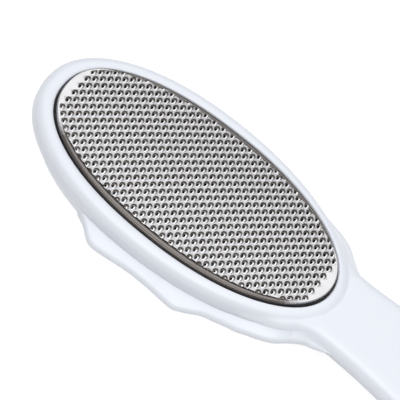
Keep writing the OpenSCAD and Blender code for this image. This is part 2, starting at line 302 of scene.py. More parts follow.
def depth_to(places, outs, less, deepest=14.0, halvings=40):
    """How far inwards from each place the opening, drawn in by less, is met."""
    near, far = np.zeros(len(places)), np.full(len(places), deepest)
    for _ in range(halvings):
        mid = (near + far) / 2
        p = places - mid[:, None] * outs
        power = open_power(p[:, 0])
        inside = (np.abs((p[:, 0] - OPEN_X) / (OPEN_L - less)) ** power
                  + np.abs(p[:, 1] / (OPEN_W - less)) ** power) < 1
        far, near = np.where(inside, mid, far), np.where(inside, near, mid)
    return near


def steps_of(n, a=0.0, b=90.0):
    """Angles from a to b in n equal steps."""
    return [a + (b - a) * k / n for k in range(n + 1)]


tip_place, tip_out = oval_points(np.array([180.0]))
print("rim's width at the tip:", np.round(depth_to(tip_place, tip_out, 0), 2))

# %% [markdown]
# ## The upper shell
#
# One moulding: the rolled rim round the opening, the ledge that carries the file plate,
# and the top of neck and handle. The rim rises from the outer wall in a quarter round,
# has its crest there and falls gently to a crisp edge at the opening. At the neck the rim
# runs on as a bead that stands over the handle's flat top, and meets it in a small
# fillet. A boolean of two solids would give the forms but not the fillet, so the head is
# one swept grid: a closed profile at each station round the oval. Beyond the oval its
# outer part is pulled out to the neck's outline, and its height is the higher of bead and
# handle, with the corner between them rounded.

# %% Heights of bead, shoulder and fillet
FILLET, OUTSIDE_Z = 1.1, -50.0


def bead(d):
    """Height of the bead at distance d inwards from the oval's wall."""
    run = RIM_R - np.clip(d, 0, RIM_R)
    return np.where(d < 0, OUTSIDE_Z, RIM_Z - RIM_R + np.sqrt(np.maximum(0, RIM_R**2 - run**2)))


def shoulder(e):
    """How far the handle's top lies lower at distance e inwards from its outline."""
    e = np.clip(e, 0, SHOULDER_R)
    return SHOULDER_R - np.sqrt(SHOULDER_R**2 - (SHOULDER_R - e) ** 2)


def higher(a, b, blend):
    """The higher of two heights, with the corner where they cross rounded."""
    near = np.maximum(0, blend - np.abs(a - b)) / blend
    return np.maximum(a, b) + near * near * blend / 4


shoulder_ins = [SHOULDER_R * (1 - cos(radians(a))) for a in steps_of(6)]
print("shoulder falls by", [round(float(shoulder(e)), 2) for e in shoulder_ins])

# %% [markdown]
# The stations run from the tip down the oval, through the neck, and then across the
# handle, where the head's grid ends in a straight cut. Where an outward line of the oval
# meets the neck has no formula, so it is found by halving an interval again and again,
# which is slower than a formula but never misses.

# %% Stations of the sweep
HEADS, NECKS = 84, 32


def halved(low, high, is_low, halvings):
    """The place between low and high where is_low turns false."""
    for _ in range(halvings):
        mid = (low + high) / 2
        low, high = (mid, high) if is_low(mid) else (low, mid)
    return low


def neck_line(angle):
    """Where the oval's outward line at this angle meets the neck's outline."""
    place, out = (rows[0] for rows in oval_points(np.array([angle])))

    def within(d):
        x, y = place + d * out
        return y <= body_w(x)
    return place + halved(0.0, 12.0, within, 40) * out


first_neck = float(np.degrees(np.arccos(NECK_START ** (HEEL_POWER / 2))))
corner_angle = halved(5.0, first_neck, lambda a: neck_line(a)[0] >= NECK_X, 30)
cut_shares = [1 - e / NECK_W for e in shoulder_ins]
cut_ys = NECK_W * np.array(cut_shares + [cut_shares[-1] * k for k in (0.8, 0.6, 0.4, 0.2, 0)])
head_shares = [0.5 - 0.5 * cos(pi * k / HEADS) if k < HEADS / 2 else k / HEADS
               for k in range(HEADS)]
head_angles = 180 - (180 - first_neck) * np.array(head_shares)
neck_angles = np.linspace(first_neck, corner_angle, NECKS)
cut_angles = corner_angle * cut_ys[1:] / NECK_W
places, outs = oval_points(np.concatenate([head_angles, neck_angles, cut_angles]))
print(len(places), "stations, the corner at", round(corner_angle, 2), "degrees")

# %% How far each station reaches outwards and inwards
corner = HEADS + NECKS - 1
outer = places.copy()
outer[HEADS + 1:corner] = [neck_line(a) for a in neck_angles[1:-1]]
outer[corner] = [NECK_X, NECK_W]
outer[corner + 1:] = [[NECK_X, y] for y in cut_ys[1:]]
is_head = np.arange(len(places)) <= HEADS
to_edge, to_ledge = depth_to(places, outs, 0), depth_to(places, outs, LEDGE_W)
outline_x = np.linspace(neck_xs[0] - 4, NECK_X + 4, 700)
outline = np.stack([outline_x, body_w(outline_x)], -1)


def from_outline(q):
    """Distance of each place in plan from the neck's outline."""
    return np.min(np.linalg.norm(outline[None] - q[:, None], axis=-1), axis=1)


print("edge", np.round(to_edge.min(), 2), "to", np.round(to_edge.max(), 2), "in from the wall")

# %% The profile's inner half: ledge, opening's edge and land
EDGE_ROUND, LEDGE_ROUND = 0.05, 0.15
columns = []


def at_depth(d, z):
    """Adds a point at depth d and height z to the profile of every station."""
    columns.append(placed(places - np.broadcast_to(d, len(places))[:, None] * outs, z))


def land_z(d):
    """Height of the gentle fall from the rim's crest to the opening's edge."""
    return RIM_Z - EDGE_DROP * ((d - RIM_R) / np.maximum(0.3, to_edge - RIM_R)) ** 2


under_z = LEDGE_Z - LEDGE_T
at_depth(WALL_T, under_z)
at_depth(to_ledge - LEDGE_ROUND, under_z)
at_depth(to_ledge, under_z + LEDGE_ROUND)
at_depth(to_ledge, LEDGE_Z - LEDGE_ROUND)
at_depth(to_ledge - LEDGE_ROUND, LEDGE_Z)
at_depth(to_edge + 0.02, LEDGE_Z)
at_depth(to_edge, LEDGE_Z + 0.02)
at_depth(to_edge, EDGE_Z - 0.5)
at_depth(to_edge, EDGE_Z - 0.16)
at_depth(to_edge - EDGE_ROUND, EDGE_Z - EDGE_ROUND)
at_depth(to_edge - LEDGE_ROUND, land_z(to_edge - LEDGE_ROUND))
for share in (0.6, 0.3):
    depth = RIM_R + (to_edge - RIM_R) * share
    at_depth(depth, land_z(depth))
for a in (90, 82, 74, 67):
    depth = RIM_R * (1 - cos(radians(a)))
    at_depth(depth, bead(depth))
print(len(columns), "points of the profile so far")

# %% The profile's outer half: over the rim and out to the neck's outline
START = 1.3  # depth at which the outer half begins
start = places - START * outs
reach = outer - start
reach_l = np.linalg.norm(reach, axis=1)
straight = np.sum(reach / reach_l[:, None] * outs, axis=1)
near_steps = [0, 0.2, 0.4, 0.55, 0.68, 0.8, 0.95, 1.15, 1.5]
ways = [step / straight * np.minimum(1, reach_l / 2 / (near_steps[-1] / straight))
        for step in near_steps]
ways += [reach_l - SHOULDER_R * (1 - cos(radians(a))) * np.minimum(1, reach_l / 2 / SHOULDER_R)
         for a in steps_of(8)[::-1]]
for way in ways:
    q = start + reach * (way / reach_l)[:, None]
    z = bead(START - way * straight)
    columns.append(placed(q, np.where(is_head, z, higher(z, TOP_Z - shoulder(from_outline(q)),
                                                         FILLET))))
wall_z = np.where(is_head, RIM_Z - RIM_R, SHOULDER_Z)
wall_z[corner + 1:] = TOP_Z - shoulder(NECK_W - cut_ys[1:])
columns[-1][:, 2] = wall_z
print(len(columns), "points of the profile so far")

# %% The profile's wall and underside
SEAM_ROUND = ((0.25, 0), (0.07, 0.07), (0, 0.25))  # height over the seam, depth
for z, depth in [((wall_z + SPLIT_Z) / 2, 0)] + [(SPLIT_Z + up, d) for up, d in SEAM_ROUND]:
    side = outer - depth * outs
    side[corner] = [NECK_X, NECK_W - depth]
    side[corner + 1:] = outer[corner + 1:]
    columns.append(placed(side, z))
at_depth(WALL_T, SPLIT_Z)
at_depth(WALL_T, SPLIT_Z + 0.2)
columns.append(columns[0])
head = laid_grid("head", np.stack(columns, 1))

# %% [markdown]
# The handle's top is a long flat face with rounded shoulders. Extruding an outline and
# bevelling it would give the shoulder, but not the slow fall towards the tail. So it is
# swept too: its stations run from the neck to the tail, and at each the points follow the
# outline inwards over the shoulder and then straight across to the middle. The underside
# is flat, on the seam.

# %% Helpers for long sweeps
def half_line(x_from, x_to, n, w=body_w):
    """Points of an outline, closer together at its ends, and their outward directions."""
    x = (x_from + x_to) / 2 - (x_to - x_from) / 2 * np.cos(np.pi * np.arange(n + 1) / n)
    line = np.stack([x, w(x)], -1)
    along = np.gradient(line, axis=0)
    out = np.stack([-along[:, 1], along[:, 0]], -1)
    return line, out / np.linalg.norm(out, axis=1, keepdims=True)


def inset(line, out, d):
    """The outline drawn in by d."""
    return line - d * out


def middle_rows(ring, shares):
    """Rows from the middle plane out to a ring, or back, over a flat."""
    return [ring * [1, k, 1] for k in shares]


print("the tail's last point:", half_line(NECK_X, TAIL_X, 4)[0][-1].tolist())


# %% The handle's top
grip, grip_out = half_line(NECK_X, TAIL_X, 120)
grip_out[0], grip_out[-1] = [0, 1], [1, 0]
inner = inset(grip, grip_out, SHOULDER_R)
rows = middle_rows(placed(inner, top_z(inner[:, 0])), (0, 0.2, 0.4, 0.6, 0.8))
for e in shoulder_ins[::-1]:
    p = inset(grip, grip_out, e)
    rows.append(placed(p, top_z(p[:, 0]) - shoulder(e)))
base_z = seam_z(grip[:, 0])
rows.append(placed(grip, (rows[-1][:, 2] + base_z) / 2))
rows += [placed(inset(grip, grip_out, d), base_z + up) for up, d in SEAM_ROUND]
for e in shoulder_ins[1:]:
    p = inset(grip, grip_out, e)
    rows.append(placed(p, seam_z(p[:, 0])))
rows += middle_rows(placed(inner, seam_z(inner[:, 0])), (0.8, 0.6, 0.4, 0.2, 0))
upper = welded("white_upper_shell", [head, laid_grid("grip", np.stack(rows, 1))])


# %% The shell in one
def drop_faces(obj, test):
    """Deletes the faces whose corners all pass the test, which gets places in mm."""
    in_edit(obj, lambda: bpy.ops.mesh.select_all(action="DESELECT"))
    for face in obj.data.polygons:
        face.select = all(test(*(obj.data.vertices[i].co / MM)) for i in face.vertices)
    bpy.ops.object.mode_set(mode="EDIT")
    bpy.ops.mesh.delete(type="FACE")
    bpy.ops.object.mode_set(mode="OBJECT")


drop_faces(upper, lambda x, y, z: abs(x - NECK_X) < 0.002)  # the wall between head and grip
upper = both_halves("white_upper_shell", upper)
measured(upper)

# %% [markdown]
# ## The catch tray
#
# A bowl that hangs under the head and catches the dust. Its upper edge is a wing that
# slopes down and out and ends in a round lip, with a wide lobe for a finger at the middle
# of each side. Near the neck the wing's root climbs a little up the handle's side. Inside,
# a collar stands up behind the rim's wall, and the bowl's heel slopes forward. A lobe
# could be a second solid that is joined on, but the real one has no seam, so the whole
# bowl is one closed profile that reaches further out at the lobes, swept from the tip to
# the heel, outside and inside.

# %% How far the wing reaches out, and how its root climbs
TUCK, WING_W = 0.6, 4.25  # without a wing the lip lies inside the wall by TUCK
WING_XS = WIDE_X + np.array([TIP_L * s if s < 0 else HEEL_L * s for s in (
    -0.472, -0.38, -0.29, -0.223, -0.166, -0.087, 0.045, 0.17, 0.295, 0.347, 0.42, 0.483,
    0.566, 0.67, 0.795, 0.92, 1)])
WING_OUT = np.array([-TUCK] + [WING_W * s for s in (
    -0.05, 0.4, 0.82, 0.87, 0.777, 0.647, 0.706, 0.918, 1, 0.8, 0.588, 0.588, 0.588, 0.494,
    0.376, 0.1)])


def reach_at(x):
    """How far the wing's lip stands out from the body's wall."""
    return np.where(x < WING_XS[0], -TUCK, curve(x, WING_XS, WING_OUT))


def climb(x):
    """How far the wing's root stands over the split."""
    return curve(x, [-60, -51.6, -48.7, -45.7, -42.7, -39.6, -36.7, HEEL_X],
                 [0, 0.3, 0.8, 1.3, 1.75, 2.1, 2.3, 2.3])


bowl, bowl_out = half_line(TIP_X, HEEL_X, 150)
core, core_out = half_line(TIP_X, HEEL_X, 150, wall_w)
bowl_out[0], bowl_out[-1] = [-1, 0], [0, 1]
core_out[0], core_out[-1] = [-1, 0], [1, 0]
xs = bowl[:, 0]
lift = 0.6 * climb(xs)  # the lip rises less than the root
away = reach_at(xs) + 0.69 * lift  # and moves out a little as it rises
print("wing reaches", round(float(away.max()), 2), "and rises", round(float(lift.max()), 2))

# %% The bowl's side and the wing's lip
LIP_R, LIP_SLOPE = 1.5, radians(24)
BELLY_H, BELLY_TOP_IN, BELLY_IN, HEEL_RUN, TRAY_T = 7.6, 2.4, 4.5, 14, 1.8


def belly(line, out, d, a):
    """The bowl's side at angle a of its curve: 0 where it starts under, 90 at the floor."""
    s = 0.3 * (1 - cos(radians(a))) + 0.7 * sin(radians(a))
    p = inset(line, out, d + BELLY_TOP_IN + BELLY_IN * s)
    x = p[:, 0] - HEEL_RUN * s * ease((p[:, 0] - HEAD_X) / (HEEL_X - HEAD_X))
    return placed(np.column_stack([x, p[:, 1]]), d + BELLY_H * (1 - sin(radians(a))))


def lip(a):
    """The round edge of the wing: -44 degrees is its underside, 66 its top."""
    flare, tuck = np.clip(away / LIP_R, 0, 1), 0.45 * np.clip(-away / TUCK, 0, 1)
    z = (SPLIT_Z + lift - tan(LIP_SLOPE) * np.maximum(0, reach_at(xs) - LIP_R)
         - LIP_R / cos(LIP_SLOPE) + LIP_R * sin(radians(a)))
    off = away - LIP_R * (1 - cos(radians(a))) * flare - tuck * (SPLIT_Z - z)
    sideways = bowl + np.column_stack([np.zeros(len(off)), off])
    return placed(np.where((away < 0)[:, None], bowl + off[:, None] * bowl_out, sideways), z)


low_ring = belly(bowl, bowl_out, 0, 90)
under = [belly(bowl, bowl_out, 0, a) for a in steps_of(12)[::-1]]
edge = [lip(a) for a in steps_of(11, -44, 66)]
print("outside of the bowl:", len(under) + len(edge), "rings")

# %% The wing's root and the collar
GAP, NECK_SIDE_X = 0.12, -45  # past this x the root stands on the handle's shoulder
COLLAR_OUT, COLLAR_IN, COLLAR_H, COLLAR_ROUND = 2.35, 3.85, 1.1, 0.2
root_z = SPLIT_Z + climb(xs)
shoulder_up = np.clip(root_z - SHOULDER_Z, 0, 2)
on_shoulder = SHOULDER_R - np.sqrt(SHOULDER_R**2 - shoulder_up**2)
root_off = np.minimum(0, away) + 0.02 - on_shoulder * (xs > NECK_SIDE_X)
root = bowl + root_off[:, None] * bowl_out
slope = [edge[-1] * (1 - k) + placed(root, root_z - GAP) * k for k in (0.35, 0.75)]
under_split = SPLIT_Z - 0.01
top = [placed(root + GAP * bowl_out, root_z - 0.1), placed(root, root_z),
       placed(root, under_split)]
collar = [placed(inset(core, core_out, d), z) for d, z in (
    (COLLAR_OUT, under_split), (COLLAR_OUT, SPLIT_Z + COLLAR_H - COLLAR_ROUND),
    (COLLAR_OUT + COLLAR_ROUND, SPLIT_Z + COLLAR_H),
    (COLLAR_IN - COLLAR_ROUND, SPLIT_Z + COLLAR_H),
    (COLLAR_IN, SPLIT_Z + COLLAR_H - COLLAR_ROUND), (COLLAR_IN, SPLIT_Z - LIP_R))]
print("collar's top at z", SPLIT_Z + COLLAR_H)

# %% The bowl
inside = [belly(core, core_out, TRAY_T, a) for a in steps_of(10)]
rings = (middle_rows(low_ring, (0, 0.35, 0.7, 0.92)) + under + edge + slope + top + collar
         + inside + middle_rows(inside[-1], (0.9, 0.6, 0.3, 0)))
tray_table = np.stack(rings, 0)
heel_wall = [tray_table[:, -1:] * [1, k, 1] for k in (0.66, 0.33, 0)]
bowl_piece = welded("bowl", [laid_grid("bowl", np.concatenate([tray_table] + heel_wall, 1))])

# %% [markdown]
# At the heel the wing doesn't stop: it runs out along the handle's side and closes to a
# point. Extruding the heel's edge and scaling it down would do, but a straight scale
# would give a cone. Here the wing's own profile is repeated along the handle's outline,
# and shrinks slowly at first and then fast.

# %% The wing's tail
TAIL_END_X, POINT_Z, TAIL_CURVE = -26.7, 13.4, 1.45
profile = [(ring[-1, 1] - bowl[-1, 1], ring[-1, 2]) for ring in edge + slope + [top[1]]]
profile += [(-0.4, profile[-1][1] - 0.1), (-0.7, profile[0][1])]
strips = []
for x, y in half_line(HEEL_X, TAIL_END_X, 14)[0]:
    left = 1 - 0.98 * ((x - HEEL_X) / (TAIL_END_X - HEEL_X)) ** TAIL_CURVE
    strip = [[x, y + off * left, POINT_Z + (z - POINT_Z) * left] for off, z in profile]
    strips.append(strip + strip[:1])
strips = np.array(strips)
tips = strips[[0, -1]].mean(axis=1, keepdims=True) * np.ones((2, strips.shape[1], 1))
tail = welded("tail", [laid_grid("tail", np.concatenate([tips[:1], strips, tips[1:]]))])
tray = both_halves("white_catch_tray", welded("tray_half", [bowl_piece, tail]))
measured(tray)
finished(tray)
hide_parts("catch_tray")
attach(tray, "tray")

# %% [markdown]
# ## The handle's back
#
# The lower half of the handle: a shallow trough with round lower edges. Three screws go
# up through it in sunk wells, and a sleeve round the hang hole passes through the top
# half and ends flush with its face. The trough is swept as before. Holes could be left
# out of a sweep by leaving out faces, but round ones cut across its rows, so the wells
# and the hole are cut with turned solids, which have the small round mouths of a moulding.

# %% The trough
BACK_X, EDGE_R, SEAM_GAP = HEEL_X + 0.15, 5, 0.05
back, back_out = half_line(BACK_X, TAIL_X, 120)
back_out[0], back_out[-1] = [0, 1], [1, 0]
rows = []
for a in steps_of(12):
    p = inset(back, back_out, EDGE_R * (1 - a / 90))
    z = low_z(p[:, 0])
    rows.append(placed(p, z + (1 - cos(radians(a))) * (seam_z(p[:, 0]) - SEAM_GAP - z)))
rows = (middle_rows(rows[0], (0, 0.3, 0.6, 0.85)) + rows
        + middle_rows(rows[-1], (0.66, 0.33, 0)))
back_piece = both_halves("white_handle_back", laid_grid("trough", np.stack(rows, 0)))
in_edit(back_piece,
        lambda: bpy.ops.mesh.select_mode(type="EDGE"),
        lambda: bpy.ops.mesh.select_all(action="DESELECT"),
        lambda: bpy.ops.mesh.select_non_manifold(),
        lambda: bpy.ops.mesh.edge_face_add(),
        lambda: bpy.ops.mesh.select_mode(type="VERT"),
        lambda: bpy.ops.mesh.select_all(action="SELECT"),
        lambda: bpy.ops.mesh.normals_make_consistent(inside=False))
measured(back_piece)

# %% The sleeve, the hang hole and the wells
HANG_X, HANG_R, SLEEVE_T, SLEEVE_Z = TAIL_X - 13, 4, 2, 10
SCREW_XS = (HEEL_X + 16, (HEEL_X + 16 + TAIL_X - 36) / 2, TAIL_X - 36)
sleeve_r = HANG_R + SLEEVE_T
sleeve = turned("sleeve", HANG_X, [(0, 0.3), (sleeve_r, 0.3), (sleeve_r, SLEEVE_Z - 0.25),
                                   (sleeve_r - 0.08, SLEEVE_Z - 0.07),
                                   (sleeve_r - 0.25, SLEEVE_Z), (0, SLEEVE_Z)])
cut_with(back_piece, sleeve, "UNION")
bore = turned("bore", HANG_X, [(0, -1), (5, -1), (4.7, 0), (4.35, 0.15), (4.08, 0.42),
                               (HANG_R, 0.8), (HANG_R, 9.2), (4.08, 9.58), (4.35, 9.85),
                               (4.7, 10.02), (5, 11), (0, 11)], 64)
cut_with(back_piece, bore)
for x in SCREW_XS:
    mouth = float(low_z(x))
    well = [(3.4, -2), (2.9, -0.1), (2.5, 0.1), (2.3, 0.4), (2.25, 2.6)]
    well = [(0, well[0][1])] + well + [(0, well[-1][1])]
    cut_with(back_piece, turned("well", x, [(r, mouth + up) for r, up in well], 40))
measured(back_piece)
finished(back_piece)
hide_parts("handle_back")
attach(back_piece, "frame")

# %% The sleeve's place in the upper shell
HOLE_R = sleeve_r + 0.15
hole = turned("hole", HANG_X, [(0, -1), (HOLE_R, -1), (HOLE_R, 9.6), (6.2, 9.85), (6.4, 10.1),
                               (6.9, 11), (0, 11)], 64)
cut_with(upper, hole)
measured(upper)
finished(upper)
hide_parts("upper_shell")
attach(upper, "frame")

# %% [markdown]
# ## The file plate
#
# A sheet of stainless steel, bent to a shallow crown across the head, its edge folded
# down into a skirt. It is etched all over with a lattice of teeth, 2.8 mm apart in rows
# that are offset by half a step, which is a square lattice with steps of 2 mm, turned by
# 45 degrees. Each tooth is a low mound, open on the near side, with a hole through the
# sheet in front of it. One tile could be repeated with two Array modifiers, but the tiles
# at the edge have to be pressed into the oval, as on the real sheet. So one tile, twelve
# points round and six rings deep, is laid on each place of the lattice in code.

# %% One tooth and its tile
PITCH, CROWN_Z, SHEET_T, DOME_R = 2.828, RIM_Z + 1.14, 0.4, 314
PLATE_L, PLATE_W = OPEN_L - 0.65, OPEN_W - 0.4
TOOTH_H, SPOKES = 0.34, 12
spokes = 2 * pi * np.arange(SPOKES) / SPOKES
c, s = np.cos(spokes), np.sin(spokes)
half = PITCH / 2


def egg(width, far, near, height, x=0.0, y=0.0):
    """Twelve points of an egg: half-width, reach to the far and the near side, height."""
    return np.stack([x + width * c, y + np.where(s > 0, far, near) * s, height + 0 * s], -1)


stand = TOOTH_H * np.clip(0.62 + 0.55 * s, 0.1, 1)  # the mound is high at its far side
hole_ring = egg(0.28, 0.46, 0.38, stand * 0.6, 0.1, -0.02)
crest_ring = egg(0.5, 0.54, 0.72, stand, 0.17, 0.2)
foot_ring = egg(0.8, 0.8, 1.25, 0, 0.22, 0.66)
to_side = half / (np.abs(c) + np.abs(s))
MIDDLE = np.array([0.2, 0.45, 0])
cell_ring = egg(to_side, to_side, to_side, 0, *MIDDLE[:2])
down = np.array([0, 0, SHEET_T])
tooth = np.stack([cell_ring - down, hole_ring * [1, 1, 0] - down, hole_ring, crest_ring,
                  foot_ring, cell_ring])
centre = cell_ring * 0 + MIDDLE
flat_cell = np.stack([cell_ring - down, centre - down, centre, cell_ring])
print("a tooth has", (len(tooth) - 1) * SPOKES, "faces")

# %% [markdown]
# The land between the teeth keeps the steel's own grey. The light and shade on the teeth
# are painted: the far side of each mound gets painted shade, its near side a painted
# highlight, and the holes are painted near black as shade. Painting that by hand would need
# a texture. Instead each face gets a number, 0 for the brightest painted highlight, 0.3 for
# the land and up to 1 for the darkest painted shade, and the steel's material turns it into
# a colour.

# %% The tone of each face: land, painted shade and painted highlight
# Tones over the land's are painted shade, up to near black in the holes and on the underside; the
# flat tiles at the two ends are lighter than the land.
LAND_TONE, DARK_TONE, FLAT_TONE, SHADE_BLACK = 0.3, 0.7, 0.12, 1
even = np.ones(SPOKES)
# The far side of each mound, spokes 1 to 5, is painted dark as shade; its near right side, round
# spoke 0, is painted light as a highlight.
flank = np.array([0.6, 0.9, 1, 1, 1, 1, 0.95, 0.6, 0.4, 0.35, 0.2, 0])
brow = np.array([0.1, 0.5, 1.1, 1.3, 1.3, 1.3, 1.2, 0.9, 0.6, 0.4, 0.2, 0])
tones = np.stack([SHADE_BLACK * even, SHADE_BLACK * even, DARK_TONE * brow, DARK_TONE * flank,
                  LAND_TONE * even])
flat_tones = np.stack([SHADE_BLACK * even, 0 * even, FLAT_TONE * even])
print("tones from", tones.min(), "to", round(tones[:4].max(), 2))

# %% The plate's oval and its crown
FIELD, TEETH, LOBES = (0.45, 1.72), (0.45, 0.7), (0.3, 1.47)  # drawn in at ends and sides
STEP_L, STEP_FADE = 37.5, 4  # how far along the plate its sides are stepped down


def plate_value(p, less):
    """Value of the plate's oval, drawn in by less at its ends and its sides: under 1 inside."""
    power = open_power(p[..., 0])
    return ((np.abs(p[..., 0] - OPEN_X) / (PLATE_L - less[0])) ** power
            + (np.abs(p[..., 1]) / (PLATE_W - less[1])) ** power)


def onto_border(p, less):
    """Places moved out or in to the plate's oval, drawn in by less."""
    scale = plate_value(p, less) ** (-1 / open_power(p[..., 0]))
    return np.stack([OPEN_X + (p[..., 0] - OPEN_X) * scale, p[..., 1] * scale], -1)


def dome(y):
    """Height of the crowned sheet."""
    return CROWN_Z - DOME_R + np.sqrt(DOME_R**2 - y**2)


def at_sides(p):
    """1 along the long sides, where the edge is stepped down, and 0 at the two ends."""
    return np.clip((STEP_L - np.abs(p[..., 0] - OPEN_X)) / STEP_FADE, 0, 1)


print("the crown stands", round(float(CROWN_Z - dome(PLATE_W)), 2), "over the sides")

# %% A tile on its place in the lattice
FIRST_SPOT, TOOTH_ENDS, UNEVENNESS = np.array([-102.7, -1.8]), (-118.2, -39.4), 0.04


def laid_tile(spot, toothed, uneven):
    """One tile at spot, uneven times as high, with what is past the field's border moved
    onto it."""
    tile = tooth if toothed else flat_cell
    p = tile * np.where(tile > 0, [1, 1, uneven], 1)
    p[..., :2] += spot
    for i in range(len(tile)):
        border = LOBES if toothed and 1 < i < len(tile) - 1 else FIELD
        out = plate_value(p[i], border) > 1
        p[i, out, :2] = onto_border(p[i, out], border)
    return p


def tile_faces(first, toothed):
    """Rings of faces between the tile's rings of points; a flat tile has a closed middle."""
    for r in range((len(tooth) if toothed else len(flat_cell)) - 1):
        if toothed or r != 1:
            a = first + r * SPOKES
            yield r, [(a + j, a + (j + 1) % SPOKES, a + (j + 1) % SPOKES + SPOKES,
                       a + j + SPOKES) for j in range(SPOKES)]


spots = {}  # place in plan, and how much higher or lower than the others its tooth is
for m in range(-40, 60):
    for n in range(-20, 20):
        spot = FIRST_SPOT + [half * m, -half * n]
        if (m + n) % 2 == 0 and plate_value(cell_ring[:, :2] + spot, FIELD).min() < 1:
            spots[m, n] = spot, 1 + UNEVENNESS * sin(12.99 * m + 78.23 * n)
print(len(spots), "tiles touch the field")

# %% [markdown]
# Neighbouring tiles meet point to point, and the weld joins them. Where a tile's side has
# no neighbour, the sheet ends, and a small wall closes it between its top and its
# underside. Each side is written down under the rounded places of its two ends, and the
# sides that come up once are the ones to close.

# %% All the tiles in one sheet
SHORTEST, OFF_GRID = 0.001, 0.0037  # OFF_GRID keeps places from lying on a rounding's border
points, marks, faces, borders = [], [], [], {}
teeth = count = 0
for spot, uneven in spots.values():
    toothed = (plate_value(spot + [0.1, 0.4], TEETH) < 1
               and TOOTH_ENDS[0] < spot[0] < TOOTH_ENDS[1])
    p = laid_tile(spot, toothed, uneven)
    for j in range(SPOKES):
        k = (j + 1) % SPOKES
        a, b = p[-1, j, :2], p[-1, k, :2]
        if np.hypot(*(a - b)) > SHORTEST:
            key = frozenset(tuple(np.round(place + OFF_GRID, 2)) for place in (a, b))
            borders.setdefault(key, []).append((count + j, count + k, (len(p) - 1) * SPOKES))
    p[..., 2] += dome(p[..., 1])
    for r, ring_faces in tile_faces(count, toothed):
        faces += ring_faces
        marks.append((tones if toothed else flat_tones)[r] * (uneven if 1 < r < 4 else 1))
    points.append(p.reshape(-1, 3))
    count += len(points[-1])
    teeth += toothed
walls = [sides[0] for sides in borders.values() if len(sides) == 1]
faces += [(a, b, b + up, a + up) for a, b, up in walls]
marks.append(SHADE_BLACK * np.ones(len(walls)))
print(teeth, "teeth and", len(spots) - teeth, "flat tiles")

# %% The sheet as a mesh
sheet_mesh = bpy.data.meshes.new("sheet")
sheet_mesh.from_pydata((np.concatenate(points) * MM).tolist(), [], faces)
# Each face carries its tone: the land's own grey, or painted shade and painted highlight on the
# teeth.
etch_and_light_marks = sheet_mesh.attributes.new("etched", "FLOAT", "FACE")
etch_and_light_marks.data.foreach_set("value", np.concatenate(marks))
sheet = bpy.data.objects.new("sheet", sheet_mesh)
scene.collection.objects.link(sheet)
sheet = welded("sheet", [sheet], SHORTEST)
measured(sheet)

# %% [markdown]
# Round the field the sheet is pressed down by 0.4 mm along its long sides and left flat
# at its two ends, and then folded over into the skirt that grips the carrier. A bevel
# would make one round all the way, so the edge is one more sweep: each row is the plate's
# oval drawn in by less and less, with its own drop and its own painted tone for the sides
# and for the ends. The dark tones down the step are painted shade in the groove, the light
# tones at the ends are a painted highlight along the bend, and the skirt's grey is a
# painted reflection.

# %% The stepped edge and the fold
# Side tones near 1 are painted shade in the groove; end tones under the land's are a painted
# highlight on the bend.
STEPS = (  # drawn in at the ends, at the sides; drop, drop at the sides; tone there, at the ends
    (0.55, 1.8, 0.3, 0, 1, LAND_TONE), (0.55, 1.8, 0.012, 0, 0.85, LAND_TONE),
    (0.44, 1.73, 0.004, 0.02, 0.85, 0.15), (0.40, 1.6, 0, 0.2, 0.85, 0.1),
    (0.37, 1.4, 0, 0.38, 0.72, 0.1), (0.35, 1.15, 0, 0.41, 0.62, 0.1),
    (0.33, 1.0, 0, 0.42, 0.64, 0.1), (0.31, 0.8, 0, 0.42, 0.68, 0.1),
    (0.28, 0.6, 0, 0.4, 0.86, 0.1), (0.25, 0.46, 0, 0.42, 0.86, 0.1))
FOLD_R, FOLD_DROP = 0.24, 0.43
around = np.radians(np.linspace(0, 360, 241))
ring = np.stack([OPEN_X + 30 * np.cos(around), 30 * np.sin(around)], -1)
edge_rows, edge_tones = [], []


def edge_row(less, drop, side_drop, side_tone, end_tone):
    """A row on the oval drawn in by less, lowered and given its painted tone by its share of the
    sides.
    """
    p = onto_border(ring, less)
    share = at_sides(p)
    edge_rows.append(placed(p, dome(p[:, 1]) - drop - side_drop * share))
    edge_tones.append(side_tone * share + end_tone * (1 - share))


for ends, sides, *rest in STEPS:
    edge_row((ends, sides), *rest)
# The fold is painted with shade along the sides, darkest at its top; at the ends it takes the
# land's tone.
for a in steps_of(5)[::-1]:
    back_by = FOLD_R * (1 - cos(radians(a)))
    fall = 1 - sin(radians(a))
    edge_row((back_by, 1.8 * back_by), FOLD_R * fall, FOLD_DROP + 2.6 * FOLD_R * fall,
             0.82 - 0.27 * fall, 0.3)
print(len(edge_rows), "rows down to the skirt")

# %% The skirt, and the plate in one
# The skirt's tone is a painted reflection, the grey of the shaded gap it faces.
SKIRT_Z, SKIRT_ROUND, SKIRT_PAINTED_REFLECTION = CROWN_Z - 2.4, 0.05, 0.5
for back_by, up in ((0, 0.1), (SKIRT_ROUND, 0), (SHEET_T - SKIRT_ROUND, 0), (SHEET_T, 0.1)):
    edge_rows.append(placed(onto_border(ring, (back_by, back_by)), SKIRT_Z + up))
    edge_tones.append(np.full(len(ring), SKIRT_PAINTED_REFLECTION))
# Under the fold the sheet is painted near black as shade.
for less, drop in (((0.41, 0.41), 0.38), ((0.6, 0.9), 0.39), ((0.6, 1.7), 0.36)):
    edge_row(less, drop, 0.06, SHADE_BLACK, SHADE_BLACK)
edge_rows.append(edge_rows[0])
edge_tones = np.stack(edge_tones, 1)
skirt = laid_grid("skirt", np.stack(edge_rows, 1))
